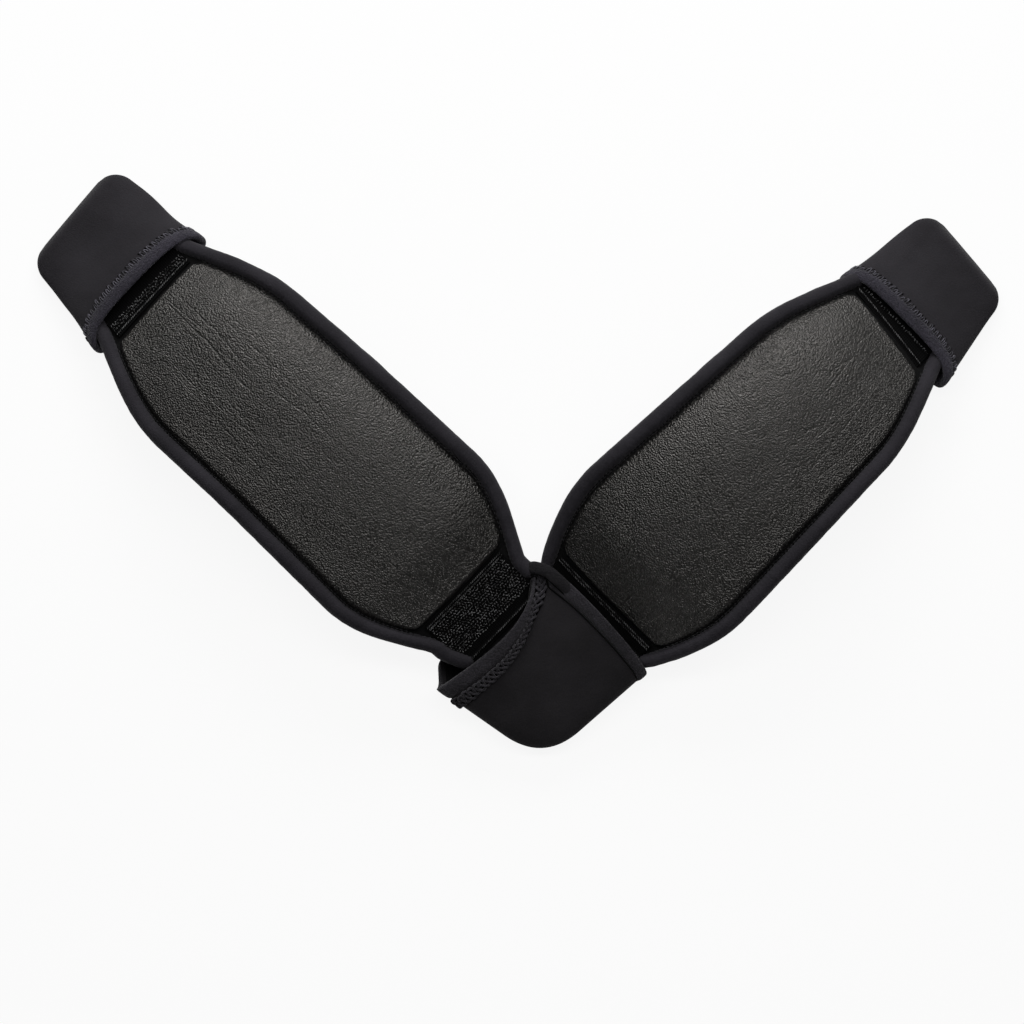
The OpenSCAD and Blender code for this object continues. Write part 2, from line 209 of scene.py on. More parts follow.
class Mat:
    """A material under construction."""

    def __init__(self, name, rough, sheen=0, specular=0.5):
        self.data = bpy.data.materials.new(name)
        self.data.use_nodes = True
        self.nodes = self.data.node_tree.nodes
        self.links = self.data.node_tree.links
        self.shader = self.nodes["Principled BSDF"]
        self.shader.inputs["Roughness"].default_value = rough
        self.shader.inputs["Sheen Weight"].default_value = sheen
        self.shader.inputs["Sheen Roughness"].default_value = 0.45
        self.shader.inputs["Specular IOR Level"].default_value = specular

    def node(self, kind, settings=None, inputs=None, out=0):
        """Adds a node and returns one of its outputs."""
        made = self.nodes.new(kind)
        for key, value in (settings or {}).items():
            setattr(made, key, value)
        for key, value in (inputs or {}).items():
            if isinstance(value, Val):
                self.links.new(value.socket, made.inputs[key])
            else:
                made.inputs[key].default_value = value
        return Val(self, made.outputs[out])

    def place(self, scale=(1, 1, 1)):
        """Object coordinates, scaled."""
        where = self.node("ShaderNodeTexCoord", out="Object")
        return self.node("ShaderNodeMapping", None, {"Vector": where, "Scale": scale})

    def uv(self, scale=(1, 1, 1)):
        """The cloth's own flat coordinates in metres, scaled."""
        where = self.node("ShaderNodeUVMap", {"uv_map": "lay"})
        return self.node("ShaderNodeMapping", None, {"Vector": where, "Scale": scale})

    def part(self, vector, axis):
        return self.node("ShaderNodeSeparateXYZ", None, {"Vector": vector}, axis)

    def cloud(self, vector, scale, detail=3, rough=0.5):
        return self.node("ShaderNodeTexNoise", None, {
            "Vector": vector, "Scale": scale, "Detail": detail, "Roughness": rough})

    def cells(self, vector, scale):
        """Distance to the middle of the nearest cell."""
        return self.node("ShaderNodeTexVoronoi", None, {"Vector": vector, "Scale": scale})

    def pebbles(self, vector, scale, smoothness):
        """The same with cells that melt into each other."""
        return self.node("ShaderNodeTexVoronoi", {"feature": "SMOOTH_F1"}, {
            "Vector": vector, "Scale": scale, "Smoothness": smoothness})

    def away(self, value, level):
        """Distance of a value from a level."""
        return self.node("ShaderNodeMath", {"operation": "ABSOLUTE"}, {0: value - level})

    def between(self, value, low, high, to_low=0.0, to_high=1.0):
        """Runs from to_low to to_high while the value runs from low to high."""
        return self.node("ShaderNodeMapRange", None, {0: value, 1: low, 2: high, 3: to_low, 4: to_high})

    def mix(self, factor, dark, light):
        """A colour between two."""
        ends = [colour if isinstance(colour, Val) else (*colour, 1) for colour in (dark, light)]
        return self.node("ShaderNodeMix", {"data_type": "RGBA"}, {0: factor, 6: ends[0], 7: ends[1]}, 2)

    def set(self, name, value):
        self.links.new(value.socket, self.shader.inputs[name])

    def bump(self, height, distance, strength):
        self.set("Normal", self.node("ShaderNodeBump", None, {
            "Strength": strength, "Distance": distance, "Height": height}))


# ---- finishes -------------------------------------------------------------------

def leather(name, folds=()):
    """Pebble-grained black leather with a soft polish and fine creases along the strap, and painted shade in
    the grain's hollows and along the creases.
    folds lists long creases: start and end along the face, side place, slant and depth."""
    grain_depth = 0.00023
    fold_half, fold_wave = 0.0007, 0.004
    crease_half = 0.022

    m = Mat(name, 0.5, specular=0.62)
    m.shader.inputs["Specular Tint"].default_value = (1.0, 0.96, 0.92, 1)
    where = m.place()
    swirl = m.node("ShaderNodeTexNoise", None, {"Vector": where, "Scale": 420, "Detail": 2}, "Color")
    swirl = m.node("ShaderNodeVectorMath", {"operation": "SCALE"}, {0: swirl, "Scale": 0.00035})
    bent = m.node("ShaderNodeVectorMath", {"operation": "ADD"}, {0: where, 1: swirl})
    pebbles = m.pebbles(bent, 1350, 0.08)
    small = m.pebbles(bent, 2600, 0.1)
    wide = m.cloud(where, 40)

    crease = m.cloud(m.uv((9, 105, 1)), 1.0, 2, 0.4)
    patch = m.cloud(m.uv((11, 26, 1)), 1.0, 1)
    lines = m.between(m.away(crease, 0.5), 0.0, crease_half, 1.0, 0.0) * m.between(patch, 0.5, 0.62)
    along, aside = m.part(m.uv(), "X"), m.part(m.uv(), "Y")
    wave = m.cloud(m.uv((60, 1, 1)), 1.0, 2)
    for start, stop, side, slant, depth in folds:
        off = m.away(aside - (along - start) * slant - wave * fold_wave, side)
        fade = m.between(along, start, start + 0.006) * m.between(along, stop, stop - 0.010)
        lines = lines + m.between(off, 0.0, fold_half, depth, 0.0) * fade

    grain = 1 - pebbles * 1.5 - small * 0.4
    m.bump(grain + wide * 1.2 - lines * 0.6, grain_depth, 1.0)
    tone = m.mix(m.between(wide, 0.3, 0.7), (0.0080, 0.0079, 0.0077), (0.0150, 0.0147, 0.0143))
    # painted shade: the hollows between the pebbles are darkened almost to black
    shaded_hollows = m.mix(m.between(pebbles, 0.24, 0.54), tone, (0.0006, 0.0006, 0.0006))
    # painted shade: the creases and folds are darkened in the base colour as well as bumped
    m.set("Base Color", m.mix(lines * 0.5, shaded_hollows, (0.002, 0.002, 0.002)))
    m.set("Roughness", m.between(wide + pebbles * 0.7, 0.4, 1.2, 0.25, 0.34))
    return m.data


def knit(name, dark, light, rib, rough=0.82, sheen=0.06, depth=0.00018, fuzzy=0.9, mottle=0.5):
    """Fine stretch knit: tiny stitches, ribs to the metre, with fuzz and a little lint."""
    m = Mat(name, rough, sheen, specular=0.14)
    where = m.place()
    stitches = m.cells(where, rib)
    fuzz = m.cloud(where, 1900, 3, 0.6)
    wide = m.cloud(where, 38, 4, 0.55)
    lint = m.between(m.cells(where, 62), 0.022, 0.012)
    lint_colour = tuple(4.5 * c for c in light)
    middle, spread = 0.5 + 0.5 * mottle, 0.15 + 0.1 * mottle
    tone = m.mix(m.between(wide + fuzz * mottle, middle - spread, middle + spread), dark, light)
    m.set("Base Color", m.mix(lint, tone, lint_colour))
    m.bump(stitches * 0.7 + fuzz * fuzzy + wide * 0.7, depth, 0.9)
    m.set("Roughness", m.between(fuzz, 0.3, 0.7, rough - 0.06, rough + 0.06))
    return m.data


def woven(name, dark, light, across, along, depth=0.00025, rough=0.7, specular=0.2):
    """Woven tape on the piece's own lay: warp ribs crossed by weft."""
    m = Mat(name, rough, specular=specular)
    lay = m.uv()

    def ribs(axis, scale, distortion):
        return m.node("ShaderNodeTexWave", {"bands_direction": axis}, {
            "Vector": lay, "Scale": scale, "Distortion": distortion, "Detail": 1, "Detail Scale": 4}, "Fac")

    fuzz = m.cloud(lay, 2200, 2)
    weave = ribs("Y", across, 0.6) * 0.6 + ribs("X", along, 0.5) * 0.5 + fuzz * 0.4
    m.set("Base Color", m.mix(m.between(weave, 0.3, 1.3), dark, light))
    m.bump(weave, depth, 0.9)
    m.set("Roughness", m.between(fuzz, 0.3, 0.7, rough - 0.08, rough + 0.08))
    return m.data


def thread(name, dark, light, rough=0.6, specular=0.4, patch=2400):
    """Twisted polyester thread, with lighter and darker filaments; on the tape's loops the lighter ones are
    painted glints.
    """
    m = Mat(name, rough, sheen=0.05, specular=specular)
    where = m.place()
    twist = m.cloud(where, 2400, 2)
    shade = m.cloud(where, patch, 2)
    m.set("Base Color", m.mix(m.between(shade, 0.42, 0.62), dark, light))
    m.bump(twist, 0.00012, 0.8)
    m.set("Roughness", m.between(twist, 0.3, 0.7, rough - 0.1, rough + 0.1))
    return m.data


def steel():
    """Stamped stainless steel with fine turning marks."""
    m = Mat("eyelet_steel", 0.3)
    marks = m.cloud(m.place((1, 1, 6)), 900)
    stain = m.between(m.cloud(m.place(), 260), 0.3, 0.7)
    m.shader.inputs["Metallic"].default_value = 1.0
    m.set("Base Color", m.mix(stain, (0.40, 0.40, 0.41), (0.55, 0.55, 0.56)))
    m.set("Roughness", m.between(marks, 0.3, 0.7, 0.24, 0.42))
    m.bump(marks, 0.00005, 0.5)
    return m.data


LEFT_FOLDS = (
    (0.128, 0.172, -0.0005, 0.05, 1.6),
    (0.118, 0.168, 0.0035, 0.10, 1.3),
    (0.060, 0.118, 0.0065, -0.04, 0.9),
    (0.080, 0.150, 0.0110, 0.02, 0.9),
)

MATS = {
    "left_leather": leather("left_leather", LEFT_FOLDS),
    "right_leather": leather("right_leather"),
    "binding": knit(
        "binding_knit", (0.0100, 0.0092, 0.0115), (0.0215, 0.0198, 0.0242), 1500, mottle=0.9),
    "neoprene": knit(
        "neoprene_knit", (0.0130, 0.0119, 0.0140), (0.0215, 0.0200, 0.0232), 1700, rough=0.86, mottle=0.9),
    "hem": knit(
        "hem_knit", (0.0110, 0.0100, 0.0145), (0.0430, 0.0395, 0.0530), 900,
        rough=0.84, sheen=0.1, depth=0.0006, fuzzy=2.0, mottle=2.0),
    # painted shade: a darker copy of the end hems' knit, for the apex hems and braid
    "apex_hem": knit(
        "apex_hem_knit", (0.0085, 0.0077, 0.0092), (0.0290, 0.0268, 0.0325), 900,
        rough=0.84, sheen=0.08, depth=0.0006, fuzzy=2.0, mottle=2.0),
    # painted shade: a darker copy of the neoprene knit for the apex sleeve
    "apex_shell": knit(
        "apex_shell_knit", (0.0068, 0.0062, 0.0070), (0.0150, 0.0138, 0.0156), 1500, rough=0.88, mottle=0.9),
    "flap": knit(
        "flap_knit", (0.0040, 0.0037, 0.0043), (0.0120, 0.0112, 0.0130), 1000,
        rough=0.88, sheen=0.04, depth=0.0005, fuzzy=2.0, mottle=1.6),
    # painted shade: near black, for the sheet that darkens the inside of the apex sleeve's left mouth
    "inside": knit(
        "inside_shade_knit", (0.0012, 0.0012, 0.0013), (0.0022, 0.0021, 0.0023), 1200, rough=0.95, sheen=0.0),
    "lining": knit(
        "lining_knit", (0.0090, 0.0088, 0.0100), (0.0150, 0.0148, 0.0165), 900, rough=0.9, depth=0.0003),
    # the foam's own dark colour, darkened further as painted shade for the seams and gaps that show it
    "foam": knit(
        "foam", (0.0018, 0.0018, 0.0019), (0.0035, 0.0035, 0.0036), 1100,
        rough=0.95, sheen=0.0, depth=0.0003),
    # the tape's own black, darkened almost to black as painted shade under the hems and sleeves
    "tape": woven(
        "tape_ground", (0.0006, 0.0006, 0.0006), (0.0026, 0.0026, 0.0027), 330, 420,
        rough=0.85, specular=0.05),
    "webbing": woven("webbing", (0.006, 0.006, 0.0065), (0.018, 0.018, 0.019), 300, 300, depth=0.0004),
    # painted highlights: the pale loops stand in for glints on the near-black nap
    "loops": thread(
        "tape_loops_painted_glints", (0.0008, 0.0008, 0.0009), (0.115, 0.115, 0.116), rough=0.42, specular=0.5, patch=430),
    "hook": thread("hook_plastic", (0.006, 0.006, 0.0065), (0.013, 0.013, 0.0135), rough=0.45),
    "thread": thread("sewing_thread", (0.004, 0.004, 0.005), (0.010, 0.0095, 0.012), rough=0.55),
    # painted shade: near-black thread laid where shade falls, in stitch piercings, gaps and folds
    "painted_shade_thread": thread(
        "painted_shade_thread", (0.0006, 0.0006, 0.0007), (0.0014, 0.0014, 0.0015), rough=0.9, specular=0.05),
    "pale_thread": thread(
        "overlock_thread", (0.012, 0.0112, 0.0155), (0.070, 0.066, 0.084), rough=0.5, patch=520),
    "steel": steel(),
}


# ---- making pieces --------------------------------------------------------------

def add_piece(mesh, name, body, finish, replaces=None):
    """Puts a mesh in the scene as a smooth piece that rides on a body."""
    mesh.materials.clear()
    mesh.materials.append(MATS[finish])
    for polygon in mesh.polygons:
        polygon.use_smooth = True
    piece = bpy.data.objects.new(name, mesh)
    bpy.context.scene.collection.objects.link(piece)
    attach(piece, body)
    if replaces:
        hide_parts(replaces)
    return piece


def finish_piece(bm, name, body, finish, replaces=None):
    """Turns a bmesh into a piece."""
    mesh = bpy.data.meshes.new(name)
    bm.to_mesh(mesh)
    bm.free()
    return add_piece(mesh, name, body, finish, replaces)


def warped_grid(columns, rows, place, closed=False, lay=None):
    """A grid whose corners run from (0, 0) to (1, 1), moved by place(a, b). A closed grid
    meets itself where b is 0 and 1. lay(a, b) gives the cloth's own flat coordinates."""
    bm = bmesh.new()
    bmesh.ops.create_grid(bm, x_segments=columns, y_segments=rows, size=0.5)
    uv = bm.loops.layers.uv.new("lay")
    spots = {v: (v.co.x + 0.5, v.co.y + 0.5) for v in bm.verts}
    if lay:
        for face in bm.faces:
            for loop in face.loops:
                loop[uv].uv = lay(*spots[loop.vert])
    for v, (a, b) in spots.items():
        v.co = place(a, b)
    if closed:
        bmesh.ops.remove_doubles(bm, verts=bm.verts, dist=1e-7)
    return bm


def close_ends(bm):
    """Caps the open ends of a tube and points its faces outward."""
    rims = [e for e in bm.edges if e.is_boundary]
    bmesh.ops.holes_fill(bm, edges=rims, sides=0)
    bmesh.ops.recalc_face_normals(bm, faces=bm.faces)


def give_wall(bm, thickness, up):
    """Gives an open sheet a thickness, in millimetres, below the side that faces up."""
    bmesh.ops.recalc_face_normals(bm, faces=bm.faces)
    bm.normal_update()
    if sum((f.normal * f.calc_area() for f in bm.faces), Vector()).dot(up) < 0:
        bmesh.ops.reverse_faces(bm, faces=bm.faces)
    bmesh.ops.solidify(bm, geom=bm.faces, thickness=thickness * MM)


def ring(angle, power):
    """A point of a rounded box outline, from -1 to 1 each way."""
    c, k = math.cos(angle), math.sin(angle)
    return (math.copysign(abs(c) ** (2 / power), c), math.copysign(abs(k) ** (2 / power), k))


def rounded(share, least=0.02):
    """How far a round end has opened, by the share of the way in from it."""
    return math.sqrt(max(least, 1 - (1 - min(1, share)) ** 2))


def above_board(grow):
    """The lowest height of a sleeve's floor, or of a layer inside it."""
    return 0.12 - min(0, grow) * 0.85


def threads(name, lines, radius, body, finish="thread", resolution=0):
    """Thin threads along lists of points, as one mesh. The radius is in millimetres."""
    data = bpy.data.curves.new(name, "CURVE")
    data.dimensions = "3D"
    data.bevel_depth = radius * MM
    data.bevel_resolution = resolution
    data.resolution_u = 2
    data.use_fill_caps = True
    for points in lines:
        spline = data.splines.new("NURBS")
        spline.points.add(len(points) - 1)
        spline.order_u = 3
        spline.use_endpoint_u = True
        for spot, co in zip(spline.points, points):
            spot.co = (*co, 1)
    curve = bpy.data.objects.new(name + "_curve", data)
    bpy.context.scene.collection.objects.link(curve)
    bpy.context.view_layer.update()
    mesh = bpy.data.meshes.new_from_object(curve.evaluated_get(bpy.context.evaluated_depsgraph_get()))
    bpy.data.objects.remove(curve)
    add_piece(mesh, name, body, finish)


# ---- the padded straps ----------------------------------------------------------

def crown(strap, s, v):
    """How much a pad's face swells above its flat thickness. It leans into the V."""
    swell, lean, end_run = 5.2, 0.30, 26
    half = strap.half(s) - EDGE
    t = min(1, max(-1, v / half))
    t -= lean * (1 - t * t)
    across = max(0, 1 - t * t)
    along = smooth((s - strap.face_in) / end_run) * smooth((strap.face_out - s) / end_run)
    return swell * across ** 0.9 * (0.35 + 0.65 * along)


def puckers(s, wander):
    """The pull of a seam's stitches on the cloth beside it, from 0 to 1."""
    return 0.5 + 0.5 * math.sin(s * FULL_TURN / STITCH + wander)


def leather_face(strap):
    """The leather top, with its rim tucked down beside the bindings and tapes."""
    under = 2.2             # how far the rim goes under the bindings
    corner = 5              # radius of the four corners
    lift = 3.4              # of the flat face above the middle line
    seam_gap = 0.35         # between the leather and a binding
    bow = 0.9               # how far the ends lie back at their corners
    pucker = 0.45           # how far the seams draw the sides in
    side_roll, end_roll = 3.3, 2.2

    def place(a, b):
        s = strap.face_in + a * (strap.face_out - strap.face_in)
        s += bow * (2 * b - 1) ** 2 * (1 - 2 * a)
        t = 2 * b - 1
        to_end = min(s - strap.face_in, strap.face_out - s)
        cut = corner - math.sqrt(max(0, corner**2 - max(0, corner - to_end) ** 2))
        edge = strap.half(strap.slanted(s, t * strap.half(s))) - EDGE - seam_gap + under - cut
        v = edge * math.copysign(1 - (1 - abs(t)) ** 1.3, t)
        to_side = edge - under - abs(v)
        to_side += pucker * puckers(s, 2.5 * lump(s / 7, t, 0, 6))
        roll = side_roll * (1 - smooth((to_side + 1.0) / 3.2)) + end_roll * (1 - smooth(to_end / 1.8))
        soft = 0.3 * lump(s / 30, v / 20, 0, 3) + 0.12 * lump(s / 11, v / 6, 0, 4)
        return strap.place(strap.slanted(s, v), v, lift + crown(strap, s, v) + soft - roll)

    length = strap.face_out - strap.face_in
    bm = warped_grid(330, 64, place, lay=lambda a, b: (a * length * MM, (2 * b - 1) * strap.mid_half * MM))
    give_wall(bm, 1.2, UP)
    name = strap.name + "_leather"
    finish_piece(bm, name, strap.name + "_strap", name, name + "_face")


def foam_core(strap):
    """The foam body between face and lining, a closed crowned pad."""
    end_gap, side_gap, depth = 0.4, 3.4, 2.4

    def place(a, b):
        s = strap.pad_in + end_gap + a * (strap.pad_out - strap.pad_in - 2 * end_gap)
        c, k = ring(FULL_TURN * b, 5)
        v = (strap.half(s) - side_gap) * c
        flat = 1.2 * smooth(min(s - strap.face_in, strap.face_out - s) / 4)
        height = 0.4 + flat + 0.8 * crown(strap, s, v) if k > 0 else depth
        return strap.place(s, v, height * k)

    bm = warped_grid(110, 48, place, closed=True)
    close_ends(bm)
    body = strap.name + "_strap"
    piece = finish_piece(bm, strap.name + "_foam", body, "foam", strap.name + "_foam_core")


def lining(strap):
    """The quilted cloth under the foam."""
    end_gap, side_gap = 0.2, 3.2

    def place(a, b):
        s = strap.pad_in + end_gap + a * (strap.pad_out - strap.pad_in - 2 * end_gap)
        t = 2 * b - 1
        v = (strap.half(s) - side_gap) * t
        quilt = 0.5 * lump(s / 24, v / 18, 1, 7)
        return strap.place(s, v, -3.1 - 0.5 * (1 - t * t) + quilt)

    bm = warped_grid(110, 40, place)
    give_wall(bm, 1.0, -UP)
    name = strap.name + "_lining"
    finish_piece(bm, name + "_cloth", strap.name + "_strap", "lining", name)


def binding(strap, side):
    """A rolled binding, puckered by its seam along the side that meets the leather."""
    word = "inner" if side > 0 else "outer"
    start = strap.inner_start if side > 0 else strap.pad_in
    half_high = 4.2
    round_end = 3.5

    def place(a, b):
        s = start + a * (strap.pad_out - start)
        middle = side * (strap.half(s) - EDGE / 2 + 0.1)
        if side < 0:
            middle += strap.swing_room * (1 - smooth((s - strap.pad_in - 6) / 8))
        c, k = ring(FULL_TURN * b, 2.3)
        inward = max(0, -c * side)
        swell = 1 + 0.05 * lump(s / 9, side, k, 8) + 0.03 * lump(s / 2.5, side, 3 * k, 9)
        dimple = 0.30 * smooth((inward - 0.3) / 0.6) * puckers(s, 2.0 * lump(s / 6, side, 0, 10))
        close = rounded(min(s - start, strap.pad_out - s) / round_end)
        reach = (EDGE / 2 - dimple) * c * swell * close
        return strap.place(s, middle + reach, 0.1 + (half_high * k * swell - dimple * k) * close)

    bm = warped_grid(380, 28, place, closed=True)
    close_ends(bm)
    name = f"{strap.name}_{word}"
    finish_piece(bm, name + "_roll", strap.name + "_strap", "binding", name + "_binding")


def binding_stitches(strap):
    """A lockstitch sunk in the groove between face and binding."""
    rise = ((0, -0.4), (0.3, 0.1), (1.1, 0.1), (1.4, -0.4))
    lines = []
    for side in (1, -1):
        for s in steps(strap.face_in + 3, strap.face_out - 4, STITCH):
            lines.append([strap.place(s + d, side * (strap.half(s + d) - EDGE - 0.15), 1.6 + lift)
                          for d, lift in rise])
    threads(strap.name + "_binding_thread", lines, 0.16, strap.name + "_strap")


def nap_loop(strap, s, v, z):
    """One loop of a tape's nap, leaning its own way, through four points."""
    x = s + 0.45 * lump(s * 1.9, v * 2.9, 6, 15)
    y = v + 0.45 * lump(s * 2.7, v * 2.2, 7, 16)
    turn = 0.5 * math.pi + 2.6 * lump(s * 2.1, v * 2.3, 0, 11)
    reach = 0.36 + 0.24 * lump(s * 3.1, v * 1.7, 4, 12)
    rise = 0.8 + 0.7 * lump(s * 1.3, v * 3.7, 8, 13)
    lean = 0.45 * lump(s * 0.9, v * 0.8, 9, 14)
    ds, dv = reach * math.cos(turn), reach * math.sin(turn)
    return [strap.place(x - ds, y - dv, z - 0.1),
            strap.place(x - 0.7 * ds + lean, y - 0.7 * dv, z + rise),
            strap.place(x + 0.7 * ds + lean, y + 0.7 * dv, z + rise),
            strap.place(x + ds, y + dv, z - 0.1)]


def cord_stitch(strap, cord, v, z):
    """A stitch over a sewn ridge of a tape."""
    at = strap.slanted(cord, v)
    return [strap.place(at - 0.25, v, z - 0.2), strap.place(at + 0.05, v + 0.3, z),
            strap.place(at + 0.25, v + 0.7, z - 0.2)]


def loop_tape(strap, word, start, end, nap, cords):
    """A napped tape across the pad: woven ground, a field of loops between the two places
    in nap, and sewn ridges at the places in cords."""
    row_step, loop_step = 1.15, 1.3
    ridge_half, ridge_high = 0.55, 0.7
    name, body = f"{strap.name}_{word}", strap.name + "_strap"
    half = strap.half((start + end) / 2) - EDGE + 1.2
    length = end - start

    def top(s, v):
        return 1.9 + 0.3 * crown(strap, s, v)

    def ground(a, b):
        s = start + a * length
        v = half * (2 * b - 1)
        ridge = max(max(0, 1 - ((s - cord) / ridge_half) ** 2) for cord in cords)
        return strap.place(strap.slanted(s, v), v, top(s, v) + ridge_high * math.sqrt(ridge))

    bm = warped_grid(max(24, int(length * 4)), 60, ground,
                     lay=lambda a, b: (a * length * MM, b * 2 * half * MM))
    give_wall(bm, 0.7, UP)
    finish_piece(bm, name + "_tape", body, "tape", name + "_loop_tape")

    lines = []
    for row, s in enumerate(steps(*nap, row_step)):
        for v in steps(-half + 1.0 + 0.55 * (row % 2), half - 1.0, loop_step):
            lines.append(nap_loop(strap, s, v, top(s, v)))
    for cord in cords:
        for v in steps(-half + 0.4, half - 0.6, 0.95):
            lines.append(cord_stitch(strap, cord, v, top(cord, v) + 0.75))
    threads(name + "_nap", lines, 0.18, body, "loops")


def hook_tape(name, body, spot, replaces):
    """Moulded hook tape: a thin ground with rows of small curled hooks on its under side.
    spot(a, b, sink) gives a place on the tape, from 0 to 1 each way, sunk below the roof."""
    rows, hooks = 9, 24
    length, width = 0.016, 0.042
    bm = warped_grid(24, 36, lambda a, b: spot(a, b, 0), lay=lambda a, b: (a * length, b * width))
    give_wall(bm, 0.5, UP)
    finish_piece(bm, name, body, "webbing", replaces)
    lines = []
    for i in range(rows):
        for j in range(hooks):
            a, b = (i + 0.5) / rows, (j + 0.5) / hooks
            lines.append([spot(a, b, 0.4), spot(a, b, 1.2), spot(a + 0.025, b, 1.5), spot(a + 0.05, b, 1.1)])
    threads(name + "_hooks", lines, 0.12, body, "hook")


# ---- end sleeves ----------------------------------------------------------------

class Pocket:
    """A slip-on end sleeve round the outer tab of a strap. It runs from lip, where its
    mouth meets the board, to far_inner and far_outer at the two sides of its far end."""

    wall = 2.5
    mouth_top = 19.2            # height of the roof at the mouth
    far_top = 8.4               # and at the far end
    far_round = 4               # how long the far end's round is
    waist_at, waist_run = 19, 9
    pull_at, pull_run = 18, 22
    shift_at, shift_run = 10, 28

    def __init__(self, strap, **sizes):
        self.strap = strap
        self.__dict__.update(sizes)
        self.end = max(self.far_inner, self.far_outer)

    def mouth(self, angle):
        """Where the mouth's edge lies along the strap, by the angle round the sleeve."""
        c, k = math.cos(angle), math.sin(angle)
        rise = self.lip + (self.hem_top - self.lip) * (0.5 + 0.5 * k)
        return rise - 1.5 * abs(c) ** 6 - self.outer_lip * smooth(-c) * (0.5 - 0.5 * k)

    def section(self, s, grow):
        """Half-width, middle height and half-height at a place along the strap."""
        t = (s - self.lip) / (self.end - self.lip)
        half = self.mouth_half + (self.far_half - self.mouth_half) * t
        half -= self.waist * math.exp(-(((s - self.lip - self.waist_at) / self.waist_run) ** 2))
        to_end = max(0, self.end - s)
        r = self.corner_r
        if to_end < r:
            half -= r - math.sqrt(max(0, r * r - (r - to_end) ** 2))
        rise = smooth((self.end - 2 - s) / (self.end - 2 - self.lip))
        top = self.far_top + (self.mouth_top - self.far_top) * rise ** 1.1
        if to_end < self.far_round:
            top = max(2.4, top * rounded(to_end / self.far_round))
        return half + grow, top / 2, top / 2 + grow

    def spot(self, s, angle, grow=0.0):
        """A place on the sleeve, at an angle round it, moved out from its surface by grow."""
        half, middle, high = self.section(s, grow)
        power = 3.4 - 0.9 * smooth((s - self.lip) / 30)
        c, k = ring(angle, power)
        skew = (self.far_inner - self.far_outer) * 0.5 * (c - 1)
        pull = smooth((s - self.lip - self.pull_at) / self.pull_run)
        to_far = smooth((s - self.lip - self.shift_at) / self.shift_run)
        shift = self.shift + (self.far_shift - self.shift) * to_far
        z = max(above_board(grow), middle + high * k)
        if k > 0:
            z += (0.5 * lump(s / 16, c * 2, 0, self.seed) + 0.22 * lump(s / 6, c * 5, 1, self.seed)) * k
        return self.strap.world(s + skew * pull, shift + half * c, z)

    def at(self, reach, angle, grow=0.0):
        """A spot at a distance in from the mouth's edge."""
        return self.spot(self.mouth(angle) + reach, angle, grow)


LEFT_POCKET = Pocket(
    LEFT, lip=219.5, hem_top=231.5, mouth_half=32.7, far_half=26.3, waist=0.9, corner_r=9,
    far_inner=LEFT.span + 15.2, far_outer=LEFT.span + 13.0, shift=-1.5, far_shift=-0.1,
    outer_lip=0.5, seed=21,
)
RIGHT_POCKET = Pocket(
    RIGHT, lip=199, hem_top=207.5, mouth_half=31.1, far_half=23.9, waist=0.3, corner_r=8.5,
    far_inner=RIGHT.span + 14.6, far_outer=RIGHT.span + 12.4, shift=-2.9, far_shift=-1.9,
    outer_lip=2.5, seed=22,
)
HEM = 5.0               # width of a folded hem


def end_sleeve(pocket):
    """A pocket of neoprene, open at its mouth."""
    name = pocket.strap.name + "_end"
    hem_cover = 1.2         # of the pocket under the hem's front edge

    def place(a, b):
        angle = FULL_TURN * b
        start = pocket.mouth(angle) + hem_cover
        return pocket.spot(start + a * (pocket.end - start), angle)

    bm = warped_grid(70, 120, place, closed=True)
    far = [e for e in bm.edges if e.is_boundary and e.verts[0].co.xy.length > (pocket.end - 8) * MM]
    bmesh.ops.holes_fill(bm, edges=far, sides=0)
    bmesh.ops.recalc_face_normals(bm, faces=bm.faces)
    bmesh.ops.solidify(bm, geom=bm.faces, thickness=pocket.wall * 0.8 * MM)
    finish_piece(bm, name + "_cover_shell", name + "_cover", "neoprene", name + "_sleeve")


def hem_ring(name, body, spot, width, finish, replaces, thick=3.0, columns=150):
    """A folded hem: a band with a rounded front edge, run once round a mouth.
    spot(reach, angle, grow) gives a place on the sleeve."""
    front = 0.4             # half of what the fold stands out of the mouth
    proud = 0.75            # how far it stands off the sleeve

    def place(a, b):
        angle = FULL_TURN * a
        c, k = ring(FULL_TURN * b, 2.8)
        reach = width / 2 - front + (width / 2 + front) * c
        wrinkle = 0.14 * lump(30 * math.cos(angle), 30 * math.sin(angle), b, 31)
        return spot(reach, angle, -thick / 2 + proud + (thick / 2 + wrinkle) * k)

    bm = warped_grid(columns, 16, place, closed=True)
    bmesh.ops.recalc_face_normals(bm, faces=bm.faces)
    finish_piece(bm, name, body, finish, replaces)


def even_angles(spot, start, stop, count):
    """Angles that space points evenly along a mouth's edge."""
    samples = 400
    fine = [start + (stop - start) * i / samples for i in range(samples + 1)]
    spots = [spot(HEM, angle) for angle in fine]
    run = [0.0]
    for a, b in zip(spots, spots[1:]):
        run.append(run[-1] + (b - a).length)
    angles = []
    i = 0
    for n in range(count + 1):
        while i < samples - 1 and run[i + 1] < run[-1] * n / count:
            i += 1
        share = (run[-1] * n / count - run[i]) / max(1e-9, run[i + 1] - run[i])
        angles.append(fine[i] + share * (fine[i + 1] - fine[i]))
    return angles


